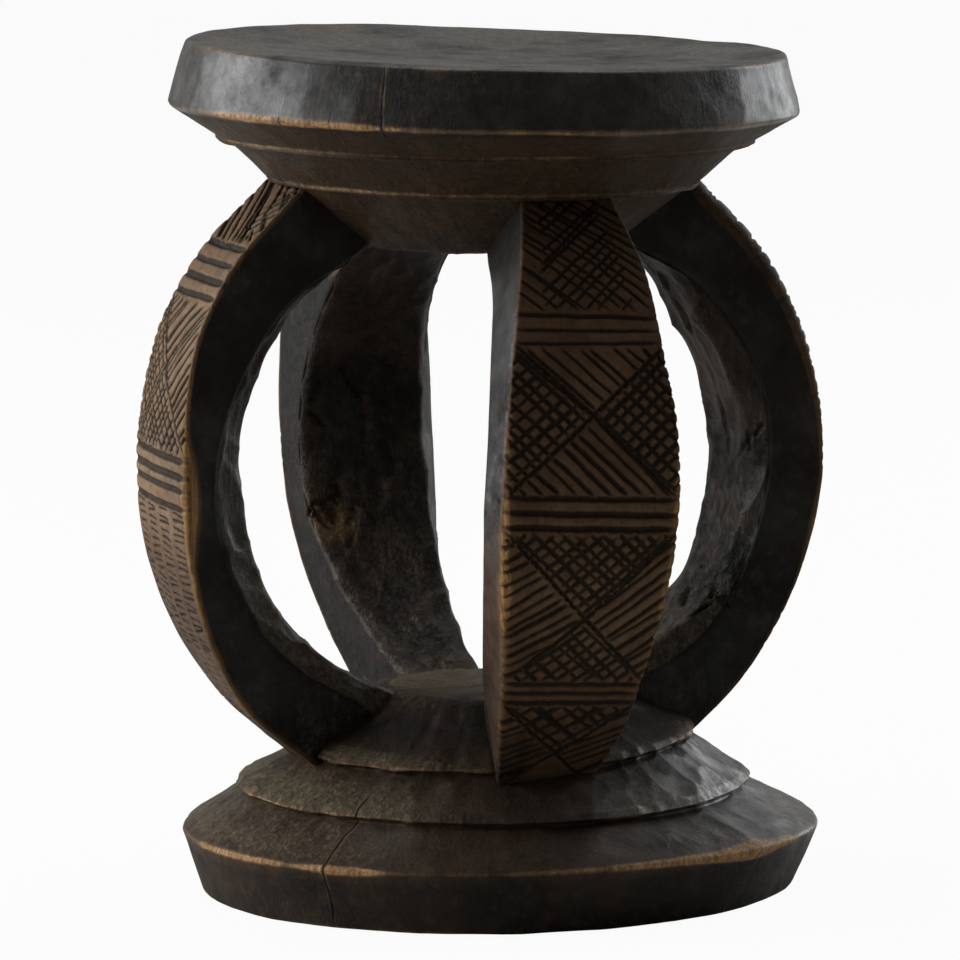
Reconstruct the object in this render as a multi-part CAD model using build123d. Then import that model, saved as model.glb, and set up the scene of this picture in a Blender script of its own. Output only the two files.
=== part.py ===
from build123d import *
from math import asin, cos, degrees, radians, sin, sqrt, tan
import os

# A stool carved from one block: a round seat on four bowed ribs that stand on a round stepped foot.
# The carver's own lines split the block into nodes, which meet face to face.
# Origin: centre of the foot on the floor. +Z is up, and the front rib stands on the -Y side.

# Heights of the carved lines above the floor, mm
foot_rim_z = 30.5
skirt_z = 48.0
ledge_z = 66.0
platform_z = 96.0
belly_z = 200.0
neck_z = 307.0
seat_ledge_z = 334.5
seat_skirt_z = 355.0
seat_rim_z = 372.0
seat_top_z = 399.0

# Radii of the carved lines, mm
foot_bottom_radius = 139.5
foot_rim_radius = 151.0
skirt_radius = 123.5
ledge_radius = 98.0
platform_radius = 51.0
neck_radius = 62.5
seat_ledge_radius = 101.0
seat_skirt_radius = 125.5
seat_rim_radius = 149.0
seat_top_radius = 142.0

# Smaller cuts of the seat and the foot, mm
step_width = 3.0  # how far each tier stands out over the next
dish_depth = 5.0
dish_floor_radius = 55.0  # the level middle of the dish
top_edge = 3.0  # chamfer of the seat's upper edge, from which the dish slopes down

# The seat leans a little, as it was cut
seat_tilt_angle = 1.6  # degrees
seat_low_side_angle = -17.0  # degrees from +X

# Ribs, mm. Each is a crescent between two arcs. The outer arc runs from just outside the seat's
# ledge over the belly to the foot's ledge, and the inner one from the neck to the platform's edge.
rib_belly_radius = 158.5
rib_thickness = 31.0  # at the belly
rib_head = 2.0  # how far the outer arc starts outside the seat's ledge
rib_toe = 2.0  # how far it ends inside the edge of the foot's ledge
rib_half_width = 41.0  # at the belly, on the outer side
rib_end_half_width = 22.5  # at the ends, on the outer side
rib_taper_angle = 7.0  # degrees, each side face towards the axis
rib_inner_flat = 46.0  # width of the flat along the inner side
rib_bevel_angle = 45.0  # degrees, between that flat and the bevels beside it
rib_overshoot = 20.0  # how far a blank runs into the seat and the foot before it is trimmed
rib_ring_x = -3.5  # the ring of ribs stands slightly off the foot's centre
rib_ring_y = 1.0

# Where each rib stands, degrees from the front, and how far its top leans the same way, degrees
rib_place_angle = {"rib_front": 0.0, "rib_right": 94.0, "rib_back": 186.0, "rib_left": 271.0}
rib_lean_angle = {"rib_front": 3.4, "rib_right": -0.7, "rib_back": 2.0, "rib_left": 0.7}

# Carved lines on the ribs' outer faces, mm. Three bands of level grooves lie across each face, and
# two grooves cross each panel between two bands from corner to corner.
groove_width = 2.6
groove_depth = 1.1
groove_pitch = 6.8  # between the grooves of one band
band_grooves = 3
rib_band_z = {  # the middle of each band, from the top
    "rib_front": [279.0, 196.0, 110.0],
    "rib_right": [288.0, 203.0, 117.0],
    "rib_back": [282.0, 196.0, 112.0],
    "rib_left": [300.0, 204.0, 118.0],
}

# Worked out from the sizes above
rib_middle_z = (seat_ledge_z + ledge_z) / 2
rib_end_depth = rib_belly_radius - (seat_ledge_radius + rib_head + ledge_radius - rib_toe) / 2
rib_taper = tan(radians(rib_taper_angle))


def tier(low_z, low_radius, high_z, high_radius):
    """One round tier with a straight sloping side."""
    outline = Polyline((0, low_z), (low_radius, low_z), (high_radius, high_z), (0, high_z), close=True)
    return revolve(make_face(Plane.XZ * outline), Axis.Z)


def dish():
    """The shallow hollow of the seat, up to the chamfer of its edge."""
    return tier(seat_top_z - dish_depth, dish_floor_radius, seat_top_z, seat_top_radius - top_edge)


def lean_seat(shape):
    """Tilts a tier of the seat about the centre of the seat's rim."""
    side = Rot(0, 0, seat_low_side_angle)
    turn = side * Rot(0, seat_tilt_angle, 0) * side.inverse()
    return Pos(0, 0, seat_rim_z) * turn * Pos(0, 0, -seat_rim_z) * shape


def make_seat():
    """The seat's three nodes, from its dished disc down to the neck."""
    disc = tier(seat_rim_z, seat_rim_radius, seat_top_z, seat_top_radius)
    upper_edge = disc.edges().filter_by(GeomType.CIRCLE).sort_by(Axis.Z)[-1]
    disc = chamfer(upper_edge, top_edge) - dish()
    cone = tier(seat_skirt_z, seat_skirt_radius, seat_rim_z, seat_rim_radius - step_width)
    cone += tier(seat_ledge_z, seat_ledge_radius, seat_skirt_z, seat_skirt_radius - step_width)
    neck = tier(neck_z, neck_radius, seat_ledge_z, seat_ledge_radius - step_width)
    return {"seat_disc": lean_seat(disc), "seat_cone": lean_seat(cone), "seat_neck": lean_seat(neck)}


def make_base():
    """The foot's three nodes, from the platform between the ribs down to the floor."""
    neck = tier(ledge_z, ledge_radius - step_width, platform_z, platform_radius)
    cone = tier(skirt_z, skirt_radius - step_width, ledge_z, ledge_radius)
    cone += tier(foot_rim_z, foot_rim_radius - step_width, skirt_z, skirt_radius)
    foot = tier(0, foot_bottom_radius, foot_rim_z, foot_rim_radius)
    return {"base_neck": neck, "base_cone": cone, "base_foot": foot}


def circle_through(first, second, third):
    """Centre and radius of the circle through three points of the rib's side view."""
    arc = ThreePointArc(first, second, third)
    return arc.arc_center, arc.radius


def outer_circle():
    top = (seat_ledge_radius + rib_head, seat_ledge_z)
    bottom = (ledge_radius - rib_toe, ledge_z)
    return circle_through(bottom, (rib_belly_radius, belly_z), top)


def inner_circle():
    middle = (rib_belly_radius - rib_thickness, belly_z)
    return circle_through((platform_radius, platform_z), middle, (neck_radius, neck_z))


def rib_bow():
    """The disc, seen from a rib's side, whose edge is the rib's outer face."""
    centre, radius = outer_circle()
    disc = Plane.XZ * Pos(centre.X, centre.Y) * Circle(radius)
    return extrude(disc, amount=2 * rib_half_width, both=True)


def leaf_edge():
    """Radius of a rib's edge seen from outside, and how far its centre lies across the middle line."""
    half_height = (seat_ledge_z - ledge_z) / 2
    end_width = rib_end_half_width + rib_end_depth * rib_taper
    radius = circle_through((end_width, -half_height), (rib_half_width, 0), (end_width, half_height))[1]
    return radius, radius - rib_half_width


def rib_leaf():
    """A rib's outline from outside the stool, tapered towards the axis."""
    radius, offset = leaf_edge()
    leaf = Pos(-offset, 0) * Circle(radius) & Pos(offset, 0) * Circle(radius)
    height = seat_ledge_z - ledge_z + 2 * (rib_overshoot + rib_end_depth * rib_taper)
    leaf &= Rectangle(2 * rib_half_width, height)
    inward = Plane(origin=(rib_belly_radius, 0, rib_middle_z), x_dir=(0, 1, 0), z_dir=(-1, 0, 0))
    depth = rib_belly_radius - platform_radius + rib_overshoot
    return extrude(inward * leaf, amount=depth, taper=rib_taper_angle)


def rib_hollow():
    """What is cut away behind a rib: a wheel whose flared sides leave the inner bevels."""
    centre, radius = inner_circle()
    flat = rib_inner_flat / 2
    wide = flat + rib_half_width
    flared_radius = radius + rib_half_width * tan(radians(rib_bevel_angle))
    rim = [(flared_radius, -wide), (radius, -flat), (radius, flat), (flared_radius, wide)]
    outline = Polyline((0, -wide), *rim, (0, wide), close=True)
    return Pos(centre.X, 0, centre.Y) * revolve(make_face(outline), Axis.Y)


def groove_section(radius):
    """Section of a V-shaped cutter whose edge reaches a groove's depth below the given radius."""
    tip = (radius - groove_depth, 0)
    outer = radius + groove_depth
    return make_face(Plane.XZ * Polyline(tip, (outer, groove_width), (outer, -groove_width), close=True))


def level_groove(z):
    """Cutter for one groove straight across a rib's outer face."""
    centre, radius = outer_circle()
    bar = extrude(groove_section(radius), amount=rib_half_width, both=True)
    return Pos(centre.X, 0, centre.Y) * Rot(0, -outer_angle(z), 0) * bar


def corner_groove(from_z, to_z, side):
    """Cutter for a groove from one edge of a rib at from_z to the other edge at to_z."""
    centre, radius = outer_circle()
    first, last = outer_edge(from_z, -side), outer_edge(to_z, side)
    middle_angle = radians(outer_angle(from_z) + outer_angle(to_z)) / 2
    crossing_x, crossing_z = centre.X + radius * cos(middle_angle), centre.Y + radius * sin(middle_angle)
    arc = ThreePointArc(first, (crossing_x, (first.Y + last.Y) / 2, crossing_z), last)
    wheel = Plane(origin=arc.arc_center, z_dir=(first - arc.arc_center).cross(last - arc.arc_center))
    return wheel * revolve(groove_section(arc.radius), Axis.Z)


def outer_angle(z):
    """Where a height lies on the outer arc, in degrees about the arc's centre."""
    centre, radius = outer_circle()
    return degrees(asin((z - centre.Y) / radius))


def outer_edge(z, side):
    """Point of a rib's outer edge at a height, on side -1 or 1."""
    centre, radius = outer_circle()
    x = centre.X + radius * cos(radians(outer_angle(z)))
    edge_radius, offset = leaf_edge()
    leaf_width = sqrt(edge_radius**2 - (z - rib_middle_z) ** 2) - offset
    return Vector(x, side * (leaf_width - (rib_belly_radius - x) * rib_taper), z)


def carve(blank, band_z):
    """Cuts the bands and the crossed panels between them into a rib's outer face."""
    half_band = groove_pitch * (band_grooves - 1) / 2
    for middle_z in band_z:
        levels = [middle_z - half_band + groove_pitch * index for index in range(band_grooves)]
        blank -= [level_groove(z) for z in levels]
    for upper_z, lower_z in zip(band_z, band_z[1:]):
        blank -= [corner_groove(upper_z - half_band, lower_z + half_band, side) for side in (-1, 1)]
    return blank


def make_ribs(trimmers):
    """Four ribs from one blank, each carved, leaned and turned to its place and trimmed to fit."""
    blank = (rib_bow() & rib_leaf()) - rib_hollow()
    ring = Pos(rib_ring_x, rib_ring_y, belly_z)
    ribs = {}
    for name, angle in rib_place_angle.items():
        place = ring * Rot(0, 0, angle - 90) * Rot(-rib_lean_angle[name], 0, 0) * Pos(0, 0, -belly_z)
        ribs[name] = place * carve(blank, rib_band_z[name])
        for solid in trimmers:
            ribs[name] -= solid
    return ribs


seat = make_seat()
base = make_base()
ribs = make_ribs([*seat.values(), *base.values()])

os.makedirs("parts", exist_ok=True)
for name, node in {**seat, **ribs, **base}.items():
    export_step(node, f"parts/{name}.step")
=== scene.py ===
import random
from functools import partial
from math import cos, pi, radians, sin, tau

import bmesh
import bpy
import numpy as np
from mathutils import Matrix, Vector


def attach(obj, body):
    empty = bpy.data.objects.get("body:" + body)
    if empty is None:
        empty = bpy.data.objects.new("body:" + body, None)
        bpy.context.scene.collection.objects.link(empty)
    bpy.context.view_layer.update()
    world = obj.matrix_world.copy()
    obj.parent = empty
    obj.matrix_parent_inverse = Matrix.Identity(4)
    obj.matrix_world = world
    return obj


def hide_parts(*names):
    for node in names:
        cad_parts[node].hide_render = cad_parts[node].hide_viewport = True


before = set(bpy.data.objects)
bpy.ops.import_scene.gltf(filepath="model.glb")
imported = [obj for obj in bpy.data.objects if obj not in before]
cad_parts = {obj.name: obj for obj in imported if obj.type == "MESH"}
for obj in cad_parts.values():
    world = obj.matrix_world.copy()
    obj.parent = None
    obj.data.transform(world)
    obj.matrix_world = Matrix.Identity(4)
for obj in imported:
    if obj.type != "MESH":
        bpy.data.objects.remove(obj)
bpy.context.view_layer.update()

mm = 0.001
cornerSteps = 4  # faces across each rounded corner
print("frame loaded:", len(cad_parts), "nodes")


class Wire:  # one socket of a node tree, so that sums can be written out
    def __init__(self, tree, socket=None):
        self.tree = tree
        self.socket = socket

    def node(self, kind, settings=None, values=None, output=0):
        made = self.tree.nodes.new(kind)
        for key, value in (settings or {}).items():
            setattr(made, key, value)
        for key, value in (values or {}).items():
            if isinstance(value, Wire):
                self.tree.links.new(value.socket, made.inputs[key])
            else:
                made.inputs[key].default_value = value
        return Wire(self.tree, made.outputs[output])

    def maths(self, operation, *values):
        return self.node("ShaderNodeMath", {"operation": operation}, dict(enumerate(values)))

    def __add__(self, other):
        return self.maths("ADD", self, other)

    def __sub__(self, other):
        return self.maths("SUBTRACT", self, other)

    def __mul__(self, other):
        return self.maths("MULTIPLY", self, other)

    def __rsub__(self, other):
        return self.maths("SUBTRACT", other, self)

    __radd__ = __add__
    __rmul__ = __mul__

    def ramp(self, low, high, start=0.0, end=1.0, soft=True):  # start below low, end above high
        kind = "SMOOTHSTEP" if soft else "LINEAR"
        limits = {0: self, 1: low, 2: high, 3: start, 4: end}
        return self.node("ShaderNodeMapRange", {"interpolation_type": kind}, limits)

    def most(self, other):
        return self.maths("MAXIMUM", self, other)

    def vector(self, operation, values, output=0):
        return self.node("ShaderNodeVectorMath", {"operation": operation}, {0: self, **values}, output)

    def stretch(self, x, y, z):
        return self.vector("MULTIPLY", {1: (x, y, z)})

    def stored(self, label, kind="FLOAT"):  # what addField left on a mesh or a stroke
        return self.node("GeometryNodeInputNamedAttribute", {"data_type": kind}, {"Name": label})

    def part(self, axis):
        return self.node("ShaderNodeSeparateXYZ", None, {0: self}, axis)

    def tint(self, amount, colour):  # this colour, with another laid over it
        values = {0: amount, 6: self, 7: colour if isinstance(colour, Wire) else (*colour, 1)}
        return self.node("ShaderNodeMix", {"data_type": "RGBA"}, values, 2)


def addObject(name, data):
    made = bpy.data.objects.new(name, data)
    bpy.context.scene.collection.objects.link(made)
    return made


def startShader(holder):
    holder.use_nodes = True
    holder.node_tree.nodes.clear()
    return Wire(holder.node_tree)


def endShader(wire, surface, kind="ShaderNodeOutputMaterial"):
    leave = wire.tree.nodes.new(kind)
    wire.tree.links.new(surface.socket, leave.inputs[0])


def geometryTree(name, inputs):
    tree = bpy.data.node_groups.new(name, "GeometryNodeTree")
    tree.interface.new_socket("Geometry", in_out="INPUT", socket_type="NodeSocketGeometry")
    for label, kind in inputs.items():
        tree.interface.new_socket(label, in_out="INPUT", socket_type="NodeSocket" + kind)
    tree.interface.new_socket("Geometry", in_out="OUTPUT", socket_type="NodeSocketGeometry")
    entry = tree.nodes.new("NodeGroupInput")
    taken = {socket.name: Wire(tree, socket) for socket in entry.outputs if socket.name}
    return tree, taken


def endTree(tree, geometry, material):
    wire = Wire(tree)
    real = wire.node("GeometryNodeRealizeInstances", None, {0: geometry})
    dressed = wire.node("GeometryNodeSetMaterial", None, {"Geometry": real, "Material": material})
    leave = tree.nodes.new("NodeGroupOutput")
    tree.links.new(dressed.socket, leave.inputs[0])


def applyTree(piece, tree, values):
    modifier = piece.modifiers.new(tree.name, "NODES")
    modifier.node_group = tree
    for item in tree.interface.items_tree:
        if item.in_out == "INPUT" and item.name in values:
            modifier[item.identifier] = values[item.name]
    depsgraph = bpy.context.evaluated_depsgraph_get()
    shaped = piece.evaluated_get(depsgraph)
    mesh = bpy.data.meshes.new_from_object(shaped, preserve_all_data_layers=True, depsgraph=depsgraph)
    piece.modifiers.remove(modifier)
    piece.data = mesh


def loftPiece(name, rows, firstEnd, lastEnd):
    # rows of points round a piece, in mm, closed round and shut at both ends
    count, around = rows.shape[:2]
    points = np.concatenate([rows.reshape(-1, 3), [firstEnd, lastEnd]]) * mm
    index = np.arange(count * around).reshape(count, around)
    turned = np.roll(index, -1, axis=1)
    quads = np.stack([index[:-1], turned[:-1], turned[1:], index[1:]], -1).reshape(-1, 4)
    last = count * around
    fans = [(last, b, a) for a, b in zip(index[0], turned[0])]
    fans += [(last + 1, a, b) for a, b in zip(index[-1], turned[-1])]
    mesh = bpy.data.meshes.new(name)
    mesh.from_pydata(points.tolist(), [], quads.tolist() + fans)
    shell = bmesh.new()
    shell.from_mesh(mesh)
    bmesh.ops.recalc_face_normals(shell, faces=shell.faces)
    shell.to_mesh(mesh)
    shell.free()
    mesh.polygons.foreach_set("use_smooth", [True] * len(mesh.polygons))
    return addObject(name, mesh)


def addField(piece, name, values, kind="FLOAT", endValue=0.0):
    # stores one value, or one vector, for each point of a lofted piece
    flat = np.asarray(values, np.float32)
    width = 3 if kind == "FLOAT_VECTOR" else 1
    flat = flat.reshape(-1, width)
    flat = np.concatenate([flat, np.full((2, width), endValue, np.float32)])
    field = piece.data.attributes.new(name, kind, "POINT")
    field.data.foreach_set("vector" if width == 3 else "value", flat.ravel())


def handWobble(angle, seed, amount, lowest=2, highest=8):
    # an uneven but smooth line round a turned form, from a few waves
    dice = random.Random(seed)
    line = np.zeros_like(angle)
    for waves in range(lowest, highest + 1):
        size = dice.uniform(0.4, 1.0) / waves
        line += size * np.sin(waves * angle + dice.uniform(0, tau))
    return amount * line


def smoothLine(values, share):
    # a smooth curve through evenly spaced values, at shares 0 to 1 and a little beyond
    values = np.asarray(values, float)
    padded = np.concatenate([[2 * values[0] - values[1]], values, [2 * values[-1] - values[-2]]])
    place = np.asarray(share) * (len(values) - 1)
    start = np.clip(np.floor(place).astype(int), 0, len(values) - 2)
    t = place - start
    a, b, c, d = (padded[start + step] for step in range(4))
    curve = 2 * b + (c - a) * t + (2 * a - 5 * b + 4 * c - d) * t**2 + (3 * b - 3 * c + d - a) * t**3
    return curve / 2


def roundedRun(corners, cuts, counts):
    # points from corner to corner, each corner rounded off; the first and last stay sharp
    rows, owners = [], []
    last = len(corners) - 1

    def towards(here, there, cut):
        step = there - here
        length = np.linalg.norm(step, axis=-1, keepdims=True)
        share = np.minimum(np.asarray(cut)[..., None] / np.maximum(length, 1e-6), 0.48)  # under half a side
        return here + step * share

    leave = corners[0]
    rows.append(leave)
    owners.append(0)
    for k in range(1, last + 1):
        arrive = corners[k] if k == last else towards(corners[k], corners[k - 1], cuts[k])
        for step in range(1, counts[k - 1] + 1):
            t = step / (counts[k - 1] + 1)
            rows.append(leave + (arrive - leave) * t)
            owners.append(k - 1 + t)
        if k == last:
            rows.append(arrive)
            owners.append(k)
            break
        leave = towards(corners[k], corners[k + 1], cuts[k])
        for step in range(cornerSteps + 1):
            t = step / cornerSteps
            rows.append((1 - t) ** 2 * arrive + 2 * t * (1 - t) * corners[k] + t**2 * leave)
            owners.append(k)
    return np.stack(rows), np.array(owners)


studio = {
    "azimuth": -17.3,  # degrees, camera round the stool
    "elevation": 7.35,
    "roll": -0.849,
    "distance": 3.6,
    "lens": 284.3,
    "sensorWidth": 36,
    "clip": (0.1, 50),
    "lookAt": (-0.00469, 0.00146, 0.19303),
    "backdropLevel": 0.38,  # what lights the stool from behind
    "roomLevel": 0.12,  # from the camera's side
    "backdropEdge": (-0.2, 0.45),  # between the two, as the cosine to straight behind
    "lampColour": (0.95, 0.98, 1.0),
    "lampAim": (0, 0, 0.2),
    "floorWidth": 30.0,
    "floorZ": -0.0004,
    "floorColour": (0.6, 0.58, 0.55, 1),
    "floorGlow": 0.95,
}

azimuth, elevation, roll = (radians(studio[key]) for key in ("azimuth", "elevation", "roll"))
towardsCamera = Vector((sin(azimuth), -cos(azimuth), 0))
cameraRight = Vector((cos(azimuth), sin(azimuth), 0))


def makeCamera():
    back = towardsCamera * cos(elevation) + Vector((0, 0, sin(elevation)))
    level = (-back).cross(Vector((0, 0, 1))).normalized()
    upright = level.cross(-back)
    right = level * cos(roll) + upright * sin(roll)
    up = upright * cos(roll) - level * sin(roll)
    lens = bpy.data.cameras.new("camera")
    lens.lens = studio["lens"]
    lens.sensor_width = studio["sensorWidth"]
    lens.clip_start, lens.clip_end = studio["clip"]
    camera = addObject("camera", lens)
    spot = Vector(studio["lookAt"]) + back * studio["distance"]
    turn = Matrix((right, up, back)).transposed().to_4x4()
    camera.matrix_world = Matrix.Translation(spot) @ turn
    bpy.context.scene.camera = camera


def makeWorld():
    world = bpy.data.worlds.new("studio")
    bpy.context.scene.world = world
    wire = startShader(world)
    direction = wire.node("ShaderNodeTexCoord", output=0)
    behind = direction.vector("DOT_PRODUCT", {1: tuple(-towardsCamera)}, 1)
    level = behind.ramp(*studio["backdropEdge"], studio["roomLevel"], studio["backdropLevel"])
    seen = wire.node("ShaderNodeLightPath", output=0)
    strength = level + seen * (1 - level)
    glow = wire.node("ShaderNodeBackground", None, {"Color": (1, 1, 1, 1), "Strength": strength})
    endShader(wire, glow, "ShaderNodeOutputWorld")


softBoxes = {  # metres to the camera's right, beyond the stool and up; width and height; watts
    "leftBox": {"side": -2.2, "behind": 0.15, "height": 0.9, "size": (2.2, 2.0), "power": 66},
    "rightBox": {"side": 1.9, "behind": 1.75, "height": 1.0, "size": (1.5, 2.0), "power": 31},
    "topBox": {"side": 0.0, "behind": 0.6, "height": 2.4, "size": (2.2, 1.6), "power": 16},
}


def makeSoftBoxes():
    for name, box in softBoxes.items():
        light = bpy.data.lights.new(name, "AREA")
        light.shape = "RECTANGLE"
        light.size, light.size_y = box["size"]
        light.energy = box["power"]
        light.color = studio["lampColour"]
        lamp = addObject(name, light)
        spot = cameraRight * box["side"] - towardsCamera * box["behind"] + Vector((0, 0, box["height"]))
        lamp.location = spot
        lamp.rotation_mode = "QUATERNION"
        lamp.rotation_quaternion = (Vector(studio["lampAim"]) - spot).to_track_quat("-Z", "Y")


def makeFloor():
    half = studio["floorWidth"] / 2
    mesh = bpy.data.meshes.new("floor")
    corners = [(-half, -half), (half, -half), (half, half), (-half, half)]
    mesh.from_pydata([(*corner, studio["floorZ"]) for corner in corners], [], [(0, 1, 2, 3)])
    material = bpy.data.materials.new("paleFloor")
    wire = startShader(material)
    matt = wire.node("ShaderNodeBsdfDiffuse", None, {"Color": studio["floorColour"]})
    glow = wire.node("ShaderNodeEmission", None, {"Color": (1, 1, 1, 1), "Strength": 1.0})
    seen = wire.node("ShaderNodeLightPath", output=0)
    both = wire.node("ShaderNodeMixShader", None, {0: seen * studio["floorGlow"], 1: matt, 2: glow})
    endShader(wire, both)
    mesh.materials.append(material)
    floor = addObject("floor", mesh)


makeCamera()
makeWorld()
makeSoftBoxes()
makeFloor()
bpy.context.scene.view_settings.view_transform = "Standard"
print("studio made")

woodLooks = {
    "dark_wood": {
        "patina": (0.0145, 0.0112, 0.008),
        "warm": (0.054, 0.03, 0.015),
        "pale": (0.11, 0.08, 0.055),
        "worn": (0.46, 0.265, 0.12),
        "dustAndPaintedLight": (0.125, 0.098, 0.06),
        "matt": 0.62,  # roughness under the polish
        "sheen": 0.34,  # roughness of the polish
        # degrees round the stool, lowest and highest z in mm, and width in mm
        "cracks": [(-36, 370, 404, 0.8), (-46, 366, 378, 0.6), (-57, 366, 384, 0.6), (-49.5, 4, 56, 1.0),
                   (38, 374, 400, 0.4), (118, 374, 404, 0.8), (205, 4, 40, 0.9), (266, 372, 402, 0.6)],
    },
    "carved_faces": {
        "patina": (0.0095, 0.008, 0.0065),
        "warm": (0.09, 0.0475, 0.023),
        "pale": (0.24, 0.15, 0.082),
        "worn": (0.4, 0.22, 0.085),
        "dustAndPaintedLight": (0.1, 0.08, 0.057),
        "matt": 0.6,
        "sheen": 0.34,
        "cracks": [],
    },
}
stainsAndShade = {
    "ash": (0.03, 0.031, 0.025),
    "rust": (0.06, 0.026, 0.014),
    "soot": (0.009, 0.007, 0.0055),
    # dark grime and painted shade inside the carved strokes
    "groove": (0.0075, 0.0056, 0.004),
    "crack": (0.004, 0.003, 0.0025),
}


def shade(colour, share):
    return tuple(c * share for c in colour)


def makeWood(name):
    look = woodLooks[name]
    material = bpy.data.materials.new(name)
    wire = startShader(material)
    place = wire.node("ShaderNodeTexCoord", output=3)

    def field(label):
        return wire.node("ShaderNodeAttribute", {"attribute_name": label}, output=2)

    def grain(scale, detail=3.0, rough=0.55, where=place):
        values = {"Vector": where, "Scale": scale, "Detail": detail, "Roughness": rough}
        return wire.node("ShaderNodeTexNoise", None, values)

    def flat(colour):
        plain = wire.node("ShaderNodeRGB")
        plain.socket.default_value = (*colour, 1)
        return plain

    labels = ("wear", "cut", "hew", "warmth", "dustAndPaintedLight", "polish")
    wear, cut, hew, warmth, dustAndPaintedLightLevel, polish = (field(label) for label in labels)
    fibreRun = place.stretch(1, 1, 0.07)
    fibres = grain(520, 4.0, 0.6, fibreRun)
    coarse = grain(170, 3.0, 0.6, fibreRun)
    clouds = grain(11, 3.0, 0.5)
    patches = grain(34, 4.0, 0.6)
    spots = grain(120, 4.0, 0.65)
    specks = grain(430, 2.0, 0.7)
    scars = grain(260, 5.0, 0.75)
    soft = (clouds - 0.5) * 0.8 + (patches - 0.5) * 0.6 + (spots - 0.5) * 0.4

    # dark patina, over it the warmer wood of the handled faces, dust in the hollows and worn arrises; in
    # places the dust colour also paints shade and light
    colour = flat(look["patina"]).tint((warmth + soft).ramp(0.1, 0.9), look["warm"])
    colour = colour.tint((warmth + soft + (fibres - 0.5) * 0.5).ramp(0.85, 1.6), look["pale"])
    dustAndPaintedLightMask = (dustAndPaintedLightLevel + soft * 1.3 + (fibres - 0.5) * 1.1 + (specks - 0.5) * 1.2).ramp(0.3, 1.0)
    colour = colour.tint(dustAndPaintedLightMask, look["dustAndPaintedLight"])
    colour = colour.tint(patches.ramp(0.5, 0.68) * clouds.ramp(0.35, 0.6) * 0.5, stainsAndShade["ash"])
    colour = colour.tint(spots.ramp(0.52, 0.66) * clouds.ramp(0.65, 0.4) * 0.45, stainsAndShade["rust"])
    wearEdge = wear + (clouds - 0.5) * 0.7 + (patches - 0.5) * 0.55 + (coarse - 0.5) * 0.45
    rubbed = wearEdge.ramp(0.28, 0.6) * 0.75
    colour = colour.tint(rubbed, shade(look["worn"], 0.36))
    wornShade = flat(look["worn"]).tint(fibres.ramp(0.38, 0.6, 0.7, 0.0), shade(look["worn"], 0.35))
    wornShade = wornShade.tint(dustAndPaintedLightLevel.ramp(0.1, 0.5) * 0.65, shade(look["dustAndPaintedLight"], 2.1))
    wearMask = wearEdge.ramp(0.58, 0.74)
    colour = colour.tint(wearMask, wornShade)
    colour = colour.tint(specks.ramp(0.6, 0.75) * 0.4, stainsAndShade["soot"])

    # the wood between the strokes is rubbed lighter, and the strokes are dark inside: dark grime there, and
    # painted shade in the hollows of the cuts
    ridge = cut.ramp(0.0, 0.2, 1.0, 0.0) * (1 - hew).ramp(0.5, 0.8)
    ridge = ridge * (spots + patches - 0.85).ramp(0.0, 0.35)
    colour = colour.tint(ridge * warmth.ramp(0.3, 0.9) * 0.5, shade(look["warm"], 1.7))
    # painted shade with grime: the deeper a stroke is cut, the darker its colour
    sunk = cut.ramp(0.0, 0.8) * hew.ramp(0.3, 1.2, 1.0, 0.4)
    colour = colour.tint(sunk * 0.84, stainsAndShade["groove"])

    # cracks that run with the grain at a few places round the stool
    split, halo = clouds * 0.0, clouds * 0.0  # none yet
    across = (coarse - 0.5) * 0.002 + (patches - 0.5) * 0.005
    x, y, z = (place.part(axis) for axis in range(3))
    for angle, low, high, width in look["cracks"]:
        side = x * cos(radians(angle)) + y * sin(radians(angle)) + across
        ahead = (x * sin(radians(angle)) - y * cos(radians(angle))).ramp(0.06, 0.09)
        within = z.ramp((low - 3) * mm, low * mm) * z.ramp(high * mm, (high + 3) * mm, 1.0, 0.0)
        narrow = wire.maths("ABSOLUTE", side).ramp(width * 0.3 * mm, width * 0.9 * mm, 1.0, 0.0)
        split = split.most(narrow * ahead * within * (spots + 0.1).ramp(0.42, 0.55))
        wide = wire.maths("ABSOLUTE", side).ramp(width * 0.6 * mm, width * 2.4 * mm, 1.0, 0.0)
        halo = halo.most(wide * ahead * within)
    besideCrack = halo * (spots + patches - 0.8).ramp(0.0, 0.35) * 0.8
    colour = colour.tint(besideCrack, shade(look["worn"], 0.4))
    colour = colour.tint(split * 0.9, stainsAndShade["crack"])

    roughness = look["matt"] + wearMask * 0.1 + dustAndPaintedLightMask * 0.2 - polish * 0.08
    mottled = 0.55 + (clouds - 0.5) * 1.5 + (patches - 0.5) * 1.6 + (spots - 0.5) * 0.9
    coat = polish * mottled * (1 - dustAndPaintedLightMask * 0.8) * (1 - sunk) * (1 - wearMask * 0.7)
    coat = coat.ramp(0.0, 1.0, 0.0, 1.0, False)

    pits = scars.ramp(0.36, 0.52)
    height = fibres * 0.3 + coarse * 0.5 + spots * 0.55 + specks * 0.2 + pits * 0.4
    height = height * (0.4 + hew * 0.9 + dustAndPaintedLightLevel * 1.5) - split * 2.5
    bump = wire.node("ShaderNodeBump", None, {"Strength": 0.85, "Distance": 0.0014, "Height": height})
    values = {
        "Base Color": colour,
        "Roughness": roughness,
        "Normal": bump,
        "IOR": 1.45,
        "Specular IOR Level": 0.16,
        "Coat Weight": coat,
        "Coat Roughness": look["sheen"],
        "Coat IOR": 1.5,
    }
    surface = wire.node("ShaderNodeBsdfPrincipled", None, values)
    endShader(wire, surface)
    return material


woods = {name: makeWood(name) for name in woodLooks}
print("wood mixed")


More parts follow.
